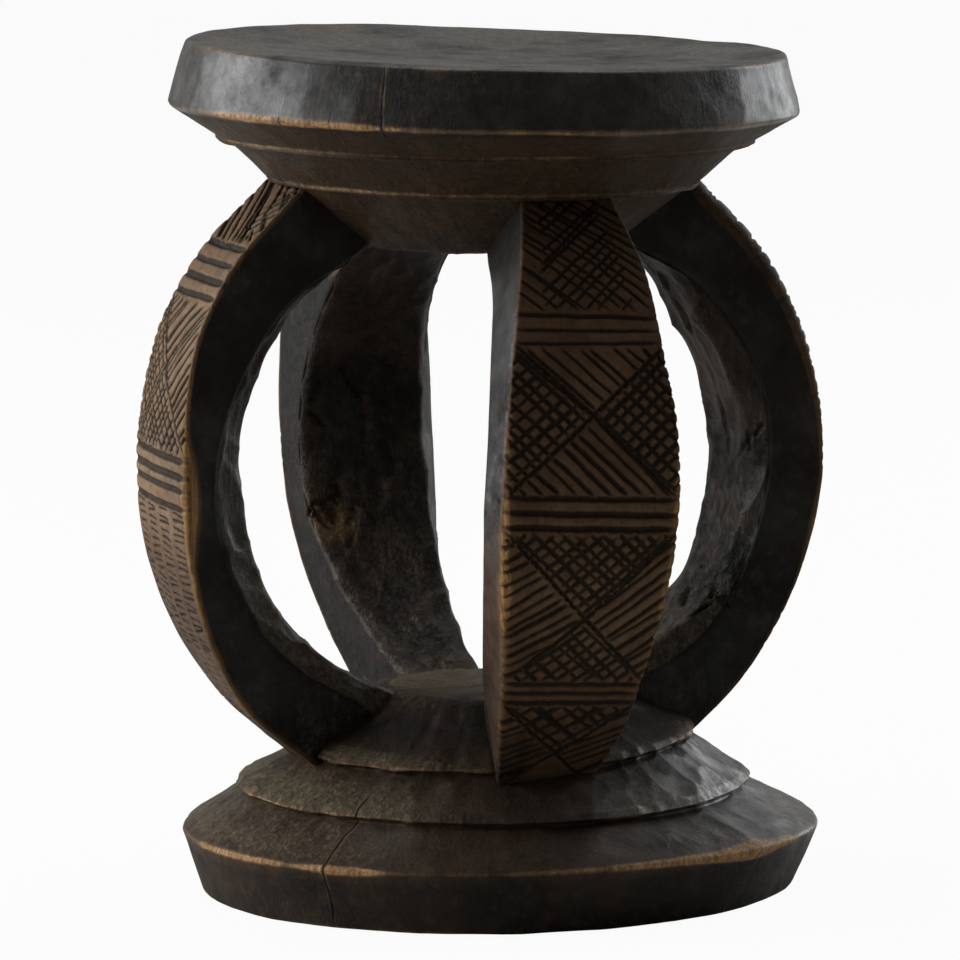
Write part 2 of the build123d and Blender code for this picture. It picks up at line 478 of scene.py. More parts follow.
def makeHewTree():
    # shallow cuts of an adze: each cell is hollowed a little and leaves a ridge round it
    inputs = {"Cut Size": "Vector", "Cut Depth": "Float", "Swell": "Float", "Seed": "Float"}
    tree, taken = geometryTree("adzeCuts", {**inputs, "Material": "Material"})
    wire = Wire(tree)
    position = wire.node("GeometryNodeInputPosition")
    normal = wire.node("GeometryNodeInputNormal")
    divided = wire.stored("hewPlace", "FLOAT_VECTOR").vector("DIVIDE", {1: taken["Cut Size"]})
    bend = wire.node("ShaderNodeTexNoise", None, {"Vector": divided, "Scale": 0.7, "Detail": 1.0}, 1)
    bent = divided.vector("ADD", {1: bend})
    values = {"Vector": bent, "W": taken["Seed"], "Scale": 1.0, "Randomness": 0.85}
    distance = wire.node("ShaderNodeTexVoronoi", {"voronoi_dimensions": "4D"}, values)
    hollow = (distance * distance - 0.35) * taken["Cut Depth"] * wire.stored("hew")
    values = {"Vector": position, "W": taken["Seed"], "Scale": 22.0, "Detail": 2.0}
    swell = wire.node("ShaderNodeTexNoise", {"noise_dimensions": "4D"}, values)
    rise = hollow + (swell - 0.5) * taken["Swell"]
    offset = normal.vector("SCALE", {"Scale": rise})
    moved = wire.node("GeometryNodeSetPosition", None, {"Geometry": taken["Geometry"], "Offset": offset})
    endTree(tree, moved, taken["Material"])
    return tree


strokes = {
    "step": 0.0012,  # metres between the points along a stroke
    "shake": 0.0014,  # how far a stroke strays from its line
}


def makeCarveTree():
    # cuts every stroke into a surface that knows its own place on the flat pattern
    inputs = {"Strokes": "Object", "Seed": "Float", "Material": "Material"}
    tree, taken = geometryTree("carvedStrokes", inputs)
    wire = Wire(tree)
    lines = wire.node("GeometryNodeObjectInfo", None, {"Object": taken["Strokes"]}, "Geometry")
    curves = wire.node("GeometryNodeMeshToCurve", None, {"Mesh": lines})
    values = {"Curve": curves, "Length": strokes["step"]}
    curves = wire.node("GeometryNodeResampleCurve", {"mode": "LENGTH"}, values)
    position = wire.node("GeometryNodeInputPosition")
    values = {"Vector": position, "W": taken["Seed"], "Scale": 85.0, "Detail": 1.0}
    shake = wire.node("ShaderNodeTexNoise", {"noise_dimensions": "4D"}, values, 1)
    shake = shake.vector("SUBTRACT", {1: (0.5, 0.5, 0.5)}).vector("SCALE", {"Scale": strokes["shake"]})
    shake = shake.stretch(1, 1, 0)
    curves = wire.node("GeometryNodeSetPosition", None, {"Geometry": curves, "Offset": shake})
    along = wire.node("GeometryNodeSplineParameter", output=0)
    ends = along.ramp(0.0, 0.09, 0.35, 1.0) * along.ramp(0.86, 1.0, 1.0, 0.25)
    single = {"data_type": "FLOAT", "domain": "POINT"}
    values = {"Geometry": curves, "Name": "cutDepth", "Value": wire.stored("cutDepth") * ends}
    curves = wire.node("GeometryNodeStoreNamedAttribute", single, values)
    tool = wire.node("GeometryNodeCurveToMesh", None, {"Curve": curves})
    near = {"Geometry": tool, "Sample Position": wire.stored("flat", "FLOAT_VECTOR")}
    distance = wire.node("GeometryNodeProximity", {"target_element": "EDGES"}, near, "Distance")
    index = wire.node("GeometryNodeSampleNearest", {"domain": "POINT"}, near)

    def sampled(label):
        values = {"Geometry": tool, "Value": wire.stored(label), "Index": index}
        return wire.node("GeometryNodeSampleIndex", single, values)

    share = wire.maths("DIVIDE", distance, sampled("cutWidth"))
    profile = share.ramp(0.0, 1.0, 1.0, 0.0)
    sunk = profile * sampled("cutDepth")
    normal = wire.node("GeometryNodeInputNormal")
    offset = normal.vector("SCALE", {"Scale": sunk * -1.0})
    values = {"Geometry": taken["Geometry"], "Name": "cut", "Value": sunk * (1 / mm)}
    body = wire.node("GeometryNodeStoreNamedAttribute", single, values)
    moved = wire.node("GeometryNodeSetPosition", None, {"Geometry": body, "Offset": offset})
    endTree(tree, moved, taken["Material"])
    return tree


hewTree = makeHewTree()
carveTree = makeCarveTree()
print("cutting trees ready")

sectors = 600  # points round the seat and the foot
turn = np.arange(sectors) / sectors * tau


def nearAngle(place, reach):
    # 1 at one place round the stool, in degrees right of the camera's side, and 0 well away from it
    away = (np.degrees(turn - azimuth) + 90 - place + 180) % 360 - 180
    return np.exp(-((away / reach) ** 2))


# what a ring of the seat or the foot has where its own row says nothing else, in mm and degrees
plainRing = {
    "tilt": 0.0,  # towards the camera's right
    "side": 0.0,  # how far its middle lies to the camera's right
    "uneven": 0.8,  # of the radius
    "waver": 0.25,  # of the height
    "lift": [],  # degrees right of the camera's side, height, reach
    "soften": 1.0,  # how far the corner is rounded
    "rows": 4,  # of faces down to the next ring
    "reach": 5.0,  # how far its wear spreads
    "worn": [],  # degrees right of the camera's side, how much more wear, reach
}


def ringLine(ring, seed):
    # one uneven ring of a hand-hewn round form, in mm
    radius = ring["r"] + handWobble(turn, seed, ring["uneven"])
    tilt = np.cos(turn - azimuth) * ring["r"] * sin(radians(ring["tilt"]))
    for place, height, reach in ring["lift"]:
        tilt = tilt + height * nearAngle(place, reach)
    x = ring["side"] * cameraRight.x + radius * np.cos(turn)
    y = ring["side"] * cameraRight.y + radius * np.sin(turn)
    z = ring["z"] + tilt + handWobble(turn, seed + 50, ring["waver"])
    return np.stack([x, y, z], -1)


def makeRound(name, rings, fields, hewing):
    rings = [{**plainRing, **ring} for ring in rings]
    lines = [ringLine(ring, hewing["seed"] + 7 * k) for k, ring in enumerate(rings)]
    softs = [ring["soften"] for ring in rings]
    cuts = [soft + handWobble(turn, 90 + k, soft * 0.25) for k, soft in enumerate(softs)]
    rows, owner = roundedRun(lines, cuts, [ring["rows"] for ring in rings])
    middleTop = np.append(lines[0][:, :2].mean(0), lines[0][:, 2].mean())
    middleLow = np.append(lines[-1][:, :2].mean(0), lines[-1][:, 2].mean())
    piece = loftPiece(name, rows, middleTop, middleLow)
    spread = np.linalg.norm(rows[:, :, :2], axis=-1)
    fall = np.linalg.norm(np.diff(rows.mean(1), axis=0)[:, [0, 2]], axis=-1)
    run = np.concatenate([[0], np.cumsum(fall + np.abs(np.diff(spread.mean(1))))])
    drum = hewing["drum"] * np.ones_like(spread)
    downwards = np.repeat(run[:, None], sectors, 1)
    hewPlace = np.stack([drum * np.cos(turn), drum * np.sin(turn), downwards], -1) * mm
    addField(piece, "hewPlace", hewPlace, "FLOAT_VECTOR")
    wear = np.zeros_like(spread)
    for k, ring in enumerate(rings):
        if "wear" not in ring:
            continue
        away = np.linalg.norm(rows - lines[k][None], axis=-1)
        amount = ring["wear"] * (1 + handWobble(turn, 300 + k, 0.3, 2, 9))
        reach = ring["reach"] * np.ones(sectors)
        for place, more, breadth in ring["worn"]:
            amount = amount + more * nearAngle(place, breadth)
            reach = reach * (1 + more * nearAngle(place, breadth))
        wear = np.maximum(wear, amount[None] * np.clip(1.3 - away / reach[None], 0, 1))
    addField(piece, "wear", wear)
    for label, (ringNumbers, levels, *places) in fields.items():
        level = np.repeat(np.interp(owner, ringNumbers, levels)[:, None], sectors, 1)
        for place, more, breadth in places:
            level = level * (1 + more * nearAngle(place, breadth))
        addField(piece, label, level)
    addField(piece, "cut", np.zeros_like(spread))
    values = {**hewing["cuts"], "Seed": float(hewing["seed"]), "Material": woods["dark_wood"]}
    applyTree(piece, hewTree, values)
    return piece


skirtLean = {"tilt": -1.45, "side": -0.3}
ledgeLean = {"tilt": -1.81, "side": -1.6}
neckLean = {"tilt": -1.6, "side": -3.8}

# r and z in mm, from the middle of the top down to the middle of the underside
seatRings = [
    {"r": 4, "z": 393.6, "tilt": -2.4, "side": 1.5, "uneven": 0.1, "waver": 0.1, "rows": 6},
    {"r": 60, "z": 394.2, "tilt": -2.5, "side": 1.5, "waver": 0.5, "soften": 12, "rows": 8},
    {"r": 112, "z": 397.0, "tilt": -2.6, "side": 1.7, "waver": 0.7, "soften": 14, "rows": 6},
    {"r": 135, "z": 399.2, "tilt": -2.6, "side": 1.7, "waver": 0.9, "soften": 6, "rows": 2},
    {"r": 141.4, "z": 398.6, "tilt": -2.5, "side": 1.2, "waver": 0.9, "soften": 1.8, "rows": 20,
     "wear": 0.36, "reach": 1.8, "worn": [(-62, 0.25, 10), (-8, 0.2, 8), (66, 0.25, 14)],
     "lift": [(-125, 0.7, 30), (165, -0.8, 30), (105, 1.1, 25)]},
    {"r": 148.8, "z": 370.5, "tilt": -1.85, "side": -0.4, "waver": 0.6, "soften": 1.6, "rows": 14,
     "wear": 0.48, "reach": 2.2,
     "worn": [(-45, 0.5, 17), (-24, 0.3, 12), (8, 0.2, 20), (150, 0.5, 25), (230, 0.4, 20)]},
    {"r": 127.4, "z": 357.2, **skirtLean, "soften": 0.6, "rows": 1,
     "wear": 0.42, "reach": 1.3, "worn": [(-50, 0.2, 26)]},
    {"r": 127.2, "z": 355.2, **skirtLean, "soften": 0.6, "rows": 1},
    {"r": 122.0, "z": 354.9, **skirtLean, "soften": 0.5, "rows": 10},
    {"r": 102.2, "z": 337.6, **ledgeLean, "soften": 0.6, "rows": 1,
     "wear": 0.42, "reach": 1.4, "worn": [(-32, 0.3, 26)]},
    {"r": 102.0, "z": 335.7, **ledgeLean, "soften": 0.6, "rows": 1},
    {"r": 97.3, "z": 335.0, **ledgeLean, "soften": 0.5, "rows": 14},
    {"r": 62.5, "z": 307.3, **neckLean, "soften": 3.0, "rows": 6},
    {"r": 44, "z": 305.5, **neckLean, "soften": 6.0, "rows": 6},
    {"r": 4, "z": 305.0, **neckLean, "uneven": 0.1, "waver": 0.1},
]
# places down the form as ring numbers, the levels there, and any places round it where there is more or
# less: degrees right of the camera's side, how much more, reach
seatFields = {
    "hew": ([0, 1, 3, 4, 4.2, 4.9, 5, 14], [0.0, 0.1, 0.3, 0.3, 1.1, 1.1, 0.7, 1.0]),
    "warmth": ([0, 4, 5, 5.2, 14], [0.3, 0.2, 0.2, 0.72, 0.66]),
    "dustAndPaintedLight": ([0, 3, 4, 4.2, 5, 5.3, 5.9, 6, 6.1, 8.9, 9, 9.1, 14],
             [0.5, 0.45, 0.3, 0.05, 0.05, 0.15, 0.15, 0.5, 0.15, 0.2, 0.5, 0.2, 0.3]),
    "polish": ([0, 3, 4, 5, 5.1, 14], [0.9, 0.9, 1.1, 1.1, 0.12, 0.12]),
}
seatHewing = {
    "drum": 130,  # radius of the drum on which the cuts are laid out
    "seed": 3,
    "cuts": {"Cut Size": (0.024, 0.024, 0.03), "Cut Depth": 0.0014, "Swell": 0.0012},
}

upperTier = {"tilt": 0.1, "side": -0.4}
lowerTier = {"tilt": -0.7, "side": -1.2}
baseRings = [
    {"r": 3, "z": 95.2, "tilt": -0.6, "side": -2.8, "uneven": 0.1, "waver": 0.1, "rows": 12},
    {"r": 40, "z": 95.9, "tilt": -0.6, "side": -2.8, "waver": 0.6, "soften": 6, "rows": 6},
    {"r": 51.5, "z": 95.2, "tilt": -0.8, "side": -2.8, "waver": 0.8, "soften": 4, "rows": 22},
    {"r": 92.6, "z": 71.6, **upperTier, "soften": 1.2, "rows": 1, "lift": [(90, 5, 45)]},
    {"r": 95.2, "z": 68.6, **upperTier, "soften": 0.6, "rows": 1,
     "lift": [(90, 5, 45)], "wear": 0.42, "reach": 2.4, "worn": [(-32, 0.3, 22)]},
    {"r": 91.6, "z": 66.2, **upperTier, "soften": 0.5, "rows": 18, "lift": [(90, 5, 45)]},
    {"r": 119.0, "z": 52.2, **lowerTier, "soften": 1.2, "rows": 1, "lift": [(90, 2.5, 40)]},
    {"r": 121.8, "z": 48.8, **lowerTier, "soften": 0.6, "rows": 1,
     "lift": [(90, 2.5, 40)], "wear": 0.42, "reach": 2.4, "worn": [(-60, 0.3, 16), (-34, 0.2, 10)]},
    {"r": 118.2, "z": 46.4, **lowerTier, "soften": 0.5, "rows": 18, "lift": [(90, 2, 40)]},
    {"r": 151.6, "z": 30.6, "tilt": 0.3, "side": 2.3, "waver": 0.9, "soften": 2.0, "rows": 22,
     "lift": [(90, -3.2, 40)], "wear": 0.46, "reach": 2.2,
     "worn": [(-29, 0.6, 8), (-44, 0.3, 12), (-62, 0.35, 14), (50, 1.5, 12), (30, 0.3, 10), (8, 0.2, 14),
              (160, 0.5, 26), (250, 0.4, 20)]},
    {"r": 140.8, "z": 0.3, "side": 0.6, "waver": 0.15, "soften": 1.5, "rows": 3, "wear": 0.4, "reach": 2.5},
    {"r": 136, "z": 0.1, "uneven": 0.5, "waver": 0.05, "rows": 4},
    {"r": 4, "z": 1.0, "uneven": 0.1, "waver": 0.05},
]
baseFields = {
    "hew": ([0, 1, 2, 3, 5, 6, 8.5, 9, 9.2, 12], [0.0, 0.3, 0.9, 0.8, 1.1, 1.0, 1.0, 0.4, 0.15, 0.1],
            (62, 0.7, 40)),
    "warmth": ([0, 2, 2.5, 3, 9, 9.2, 12], [0.55, 0.5, 0.3, 0.55, 0.6, 0.3, 0.3],
               (62, -0.5, 40), (-60, 0.3, 50)),
    "dustAndPaintedLight": ([0, 1, 2, 2.4, 2.8, 3, 4, 4.6, 5.5, 6, 7, 7.6, 8.8, 9, 9.2, 12],
             [0.95, 0.9, 0.5, 0.1, 0.2, 0.85, 0.9, 0.1, 0.45, 0.8, 0.85, 0.2, 0.5, 0.1, 0.0, 0.1],
             # the second place here: less dust just right of the front, under the front rib, leaves the foot
             # darker there, a painted shade under the rib
             (-60, 0.7, 40), (6, -0.75, 28), (70, -0.5, 40)),
    "polish": ([0, 2, 3, 5, 8.5, 9, 9.2, 12], [0.15, 0.4, 0.35, 0.7, 0.85, 0.5, 0.26, 0.2],
               (64, 0.6, 40), (-50, -0.6, 40)),
}
baseHewing = {
    "drum": 120,
    "seed": 11,
    "cuts": {"Cut Size": (0.016, 0.016, 0.034), "Cut Depth": 0.002, "Swell": 0.0014},
}

seat = makeRound("seat", seatRings, seatFields, seatHewing)
foot = makeRound("foot", baseRings, baseFields, baseHewing)
print("seat and foot hewn")

# nine places down each rib, in mm above the floor, for the outer face, its side arrises and the inner face
outerZ = [334.5, 306, 273, 237, 200, 162, 127, 93.5, 66]
sideZ = [303.5, 287, 263, 233, 200, 167, 137, 113, 96]
innerZ = [307, 288, 262, 231, 198, 165, 135, 112, 96]

# radii from the axis and half-widths at those places, in mm; left and right as seen from outside
evenOut = [103, 128, 146, 155.5, 158.2, 153.5, 142, 121.5, 95]
evenLeaf = [22, 29.5, 36, 40.5, 41.5, 39.5, 34.5, 30, 24]
evenSide = [22, 27, 31.5, 35, 36.5, 34, 30, 25, 20]
evenInner = [16, 19, 21, 22.5, 23, 22, 20, 17, 14]
evenRound = [1.4, 1.3, 1.2, 1.2, 1.3, 1.3, 1.4, 1.6, 1.8]
evenWear = [0.1, 0.2, 0.3, 0.5, 0.6, 0.6, 0.4, 0.3, 0.2]
evenRib = {
    "outLeft": evenOut,
    "outRight": evenOut,
    "sideRadius": [70, 98.5, 121, 135.5, 141, 137, 123.5, 102, 74],
    "innerRadius": [62.5, 90.5, 111.5, 124.5, 127.5, 120.5, 104.5, 80.5, 51],
    "leafLeft": evenLeaf,
    "leafRight": evenLeaf,
    "sideLeft": evenSide,
    "sideRight": evenSide,
    "innerLeft": evenInner,
    "innerRight": evenInner,
    "roundLeft": evenRound,  # how far the arris is worn round
    "roundRight": evenRound,
    "wearLeft": evenWear,
    "wearRight": evenWear,
    "reach": [4] * 9,  # how far the wear of an arris spreads
    "tone": [0.5, 0.5, 0.6, 0.75, 0.85, 0.85, 0.75, 0.6, 0.5],  # how warm the outer face is
    "sideTone": [0, 0, 0, 0, 0, 0, 0, 0.05, 0.1],
    "polish": [0.4] * 9,  # of the side faces
    "lowShine": 0.35,  # more polish on the lower half of the inner faces
    # more dust low on the inner faces; where it is raised further, as on the left rib, it also paints light
    # on the upward-facing lower bevel
    "lowDustAndPaintedLight": 0.5,  # more dust there
    "margin": 0.0,  # how far the strokes stop short of the arris
    "scars": (),  # splintered places of the right arris: height, place across, size
}
ribs = {
    "rib_front": {
        **evenRib, "place": 0.0, "lean": 3.4,
        "outLeft": [97, 127, 146, 155.5, 158.2, 154, 142.5, 122.5, 99],
        "outRight": [97, 127, 146, 155.5, 158.2, 154, 142.5, 121, 93],
        "leafLeft": [17, 26, 33.5, 38, 38.5, 36.5, 31, 25, 17.5],
        "leafRight": [27, 34, 38, 43.5, 45.4, 43.4, 39, 37, 33],
        "sideLeft": [24, 30, 37, 41.5, 43.7, 41.5, 36, 28, 17.5],
        "innerLeft": [16, 19, 21, 22.5, 23, 22, 19, 15, 10],
        "wearLeft": [0.0, 0.1, 0.2, 0.6, 0.85, 0.8, 0.5, 0.4, 0.3],
        "wearRight": [0.0, 0.1, 0.2, 0.45, 0.75, 0.65, 0.45, 0.2, 0.1],
        "tone": [0.6, 0.7, 0.95, 1.0, 1.02, 1.05, 0.9, 0.66, 0.5],
        "sideTone": [0.05, 0.05, 0.05, 0.2, 0.4, 0.6, 0.55, 0.5, 0.5],
        "polish": [1.4, 1.4, 1.4, 1.3, 1.2, 0.8, 0.5, 0.4, 0.4],
        "reach": [4, 4, 4, 5, 7, 8, 8, 7, 6],
        "roundLeft": [1.4, 1.3, 1.4, 1.8, 2.6, 2.8, 2.6, 2.4, 2.2],
    },
    "rib_right": {
        **evenRib, "place": 94.2, "lean": -0.7, "margin": 2.4,
        "outLeft": [105, 130, 148, 157, 159.3, 153.5, 142, 121, 94],
        "outRight": [104.5, 128.5, 146, 156, 159, 153, 142, 121.5, 94],
        "sideRadius": [70, 98, 119, 132, 134.5, 129.5, 118.5, 103, 77],
        "innerRadius": [66, 91, 106.5, 121.5, 127, 121.5, 107, 82, 51],
        "roundLeft": [9, 9, 7.5, 4.5, 1.8, 1.4, 1.4, 1.6, 1.8],
    },
    "rib_back": {
        **evenRib, "place": 186.0, "lean": 2.0, "margin": 2.2,
        "leafRight": [24, 31, 37.5, 40, 40, 39, 34.5, 28, 22],
        "sideRight": [26, 29, 32, 36, 37.8, 36.5, 30.5, 25.5, 21.5],
        "sideLeft": [27, 28, 28, 31, 33.3, 32, 27, 21.5, 18],
        "innerRight": [24, 27, 30.5, 34.5, 36.6, 35.3, 29.5, 24, 19.5],
        "innerRadiusRight": [66, 95, 117, 132, 137.5, 132.5, 117.5, 95, 66],
        "polish": [0.1] * 9,
        "scars": ((160, 66, 11), (290, 60, 8)),
    },
    "rib_left": {
        # the left rib's higher low dust is dust and also painted light on its upward-facing lower inner
        # bevel
        **evenRib, "place": 271.2, "lean": 0.7, "margin": 1.0, "lowShine": 1.2, "lowDustAndPaintedLight": 0.9,
        "outLeft": [103, 129.5, 147, 156, 159, 155, 144, 122.5, 93.5],
        "outRight": [98, 128.5, 149, 157.5, 158.7, 155.5, 145, 126.5, 93],
        "leafRight": [21, 28, 34, 38.5, 39.5, 37.5, 33, 27, 19.5],
        "sideRadius": [72, 101, 121.5, 137, 143.5, 138.5, 124, 103, 76],
        "innerRadius": [62.5, 90.5, 111.5, 124, 125.6, 119.8, 104.5, 80.5, 51],
        "tone": [1.0, 1.25, 1.45, 1.55, 1.7, 0.98, 0.72, 0.6, 0.55],
        "reach": [2, 2, 2, 3, 8, 5, 3.5, 3.5, 3],
        "roundRight": [1.2, 1.2, 1.2, 1.8, 3, 2.4, 2, 1.8, 1.8],
        "wearRight": [0.3, 0.35, 0.4, 0.55, 1.15, 0.75, 0.55, 0.5, 0.35],
    },
}
ribMesh = {
    "overrun": 0.055,  # share of the length that runs into the seat and the foot
    "crown": 2.4,  # how far the outer face swells at the belly
    "rows": 430,
    "outerColumns": 112,
    "sideColumns": 16,
    "bevelColumns": 8,
    "innerColumns": 24,
    "bevelSoftness": 1.6,  # how far the arris between side and bevel is rounded
    "innerSoftness": 3.0,
    "bellyZ": 200.0,  # the height about which a rib leans
    "ringX": -3.6,  # the middle of the ring of ribs
    "ringY": 1.1,
    "hewing": {"Cut Size": (0.014, 0.022, 1.0), "Cut Depth": 0.0024, "Swell": 0.0012},
}


def makeRib(name):
    rib = ribs[name]
    share = np.linspace(-ribMesh["overrun"], 1 + ribMesh["overrun"], ribMesh["rows"])
    line = {key: smoothLine(values, share) for key, values in rib.items() if isinstance(values, list)}
    levels = {"out": outerZ, "side": sideZ, "inner": innerZ}
    heights = {key: smoothLine(values, share) for key, values in levels.items()}

    def path(radius, width, height, sign):
        return np.stack([line[radius], sign * line[width], heights[height]], -1)

    outerLeft = path("outLeft", "leafLeft", "out", -1)
    outerRight = path("outRight", "leafRight", "out", 1)
    innerLeft = path("innerRadius", "innerLeft", "inner", -1)
    rightRadius = "innerRadiusRight" if "innerRadiusRight" in rib else "innerRadius"
    innerRight = path(rightRadius, "innerRight", "inner", 1)
    middle = (innerLeft + innerRight) / 2  # the section starts and ends in the middle of the inner side
    loop = [middle, innerLeft, path("sideRadius", "sideLeft", "side", -1), outerLeft, outerRight,
            path("sideRadius", "sideRight", "side", 1), innerRight, middle]
    sideCounts = [ribMesh["innerColumns"] // 2, ribMesh["bevelColumns"], ribMesh["sideColumns"]]
    counts = [*sideCounts, ribMesh["outerColumns"], *reversed(sideCounts)]
    innerSoft = ribMesh["innerSoftness"] * np.ones(len(share))
    bevelSoft = ribMesh["bevelSoftness"] * np.ones(len(share))
    cuts = [0, innerSoft, bevelSoft, line["roundLeft"], line["roundRight"], bevelSoft, innerSoft, 0]
    columns, owner = roundedRun(loop, cuts, counts)
    columns, owner = columns[:-1], owner[:-1]
    rows = columns.transpose(1, 0, 2).copy()

    onOuter = ((owner >= 3) & (owner <= 4))[None, :]
    halfHere = np.where(rows[..., 1] < 0, line["leafLeft"][:, None], line["leafRight"][:, None])
    swell = ribMesh["crown"] * np.sin(pi * np.clip(share, 0, 1))[:, None]
    rows[..., 0] += np.where(onOuter, swell * np.clip(1 - (rows[..., 1] / halfHere) ** 2, 0, 1), 0)

    # where each point lies on the flat pattern: across, and down the outer face
    run = np.stack([(line["outLeft"] + line["outRight"]) / 2, heights["out"]], -1)
    down = np.concatenate([[0], np.cumsum(np.linalg.norm(np.diff(run, axis=0), axis=-1))])
    down -= np.interp(0, share, down)
    fromLeft = np.linalg.norm(rows - outerLeft[:, None], axis=-1)
    fromRight = np.linalg.norm(rows - outerRight[:, None], axis=-1)
    beside = np.where((owner < 3)[None], -halfHere - fromLeft, halfHere + fromRight)
    across = np.where(onOuter, rows[..., 1], beside)
    reach = line["reach"][:, None]
    wear = np.maximum(line["wearLeft"][:, None] * np.clip(1.25 - fromLeft / reach, 0, 1),
                      line["wearRight"][:, None] * np.clip(1.25 - fromRight / reach, 0, 1))

    for z, spot, size in rib["scars"]:
        away = np.hypot((rows[..., 2] - z) / 1.4, np.abs(across) - spot) * np.where(across > 0, 1, 9) / size
        wear = np.maximum(wear, 0.6 * np.exp(-(away**2)))

    # into place: the lean turns about the belly, then the rib turns round the axis
    lean = radians(rib["lean"])
    width, height = rows[..., 1].copy(), rows[..., 2] - ribMesh["bellyZ"]
    rows[..., 1] = width * cos(lean) + height * sin(lean)
    rows[..., 2] = ribMesh["bellyZ"] - width * sin(lean) + height * cos(lean)
    angle = radians(rib["place"]) - pi / 2
    x = rows[..., 0] * cos(angle) - rows[..., 1] * sin(angle) + ribMesh["ringX"]
    y = rows[..., 0] * sin(angle) + rows[..., 1] * cos(angle) + ribMesh["ringY"]
    rows[..., 0], rows[..., 1] = x, y

    piece = loftPiece(name.replace("rib_", "") + "Rib", rows, rows[0].mean(0), rows[-1].mean(0))
    downGrid = np.repeat(down[:, None], len(owner), 1)
    flat = np.stack([across, downGrid, np.zeros_like(across)], -1) * mm
    farAway = 9.0  # so that no stroke reaches the two end points
    addField(piece, "flat", flat, "FLOAT_VECTOR", farAway)
    section = np.linalg.norm(np.diff(columns[:, len(share) // 2], axis=0), axis=-1)
    around = np.concatenate([[0], np.cumsum(section)])
    hewPlace = np.stack([np.repeat(around[None], len(share), 0), downGrid, np.zeros_like(across)], -1) * mm
    addField(piece, "hewPlace", hewPlace, "FLOAT_VECTOR")
    outside = np.where(onOuter, 1.0, 0.0) * np.ones_like(across)
    inside = ((owner < 1.9) | (owner > 5.1))[None, :] * np.ones_like(across)
    flank = (1 - outside) * (1 - inside)
    addField(piece, "wear", wear)
    addField(piece, "hew", 0.15 * outside + 1.1 * inside + 0.1)
    sideTone = np.where(owner[None] < 3, line["sideTone"][:, None], 0.0)
    addField(piece, "warmth", line["tone"][:, None] * outside + 0.3 * inside + sideTone * (1 - outside))
    toe = np.clip((112 - rows[..., 2]) / 30, 0, 1)  # dust gathers where the rib stands on the foot
    under = np.clip((240 - rows[..., 2]) / 110, 0, 1)
    # dust low on the inner faces; on the left rib, where there is most, it also paints the light falling on
    # the upward-facing bevel
    addField(piece, "dustAndPaintedLight", (0.12 + rib["lowDustAndPaintedLight"] * under) * inside + 0.4 * toe * (1 - outside))
    shine = (0.15 + rib["lowShine"] * under) * inside + line["polish"][:, None] * flank
    addField(piece, "polish", 0.12 * outside + shine)
    values = {**ribMesh["hewing"], "Seed": rib["place"] * 0.37, "Material": woods["carved_faces"]}
    applyTree(piece, hewTree, values)
    return piece, (heights["out"], down)


cutting = {  # mm
    "hatchWidth": 1.55,
    "diagonalWidth": 1.6,
    "diagonalMore": 1.25,  # how much deeper a diagonal is than the hatching beside it
    "inset": 1.2,  # between a panel's ends and its hatching
    "overArris": 0.8,  # how far a band runs past the arris
    "shortest": 3.0,
}


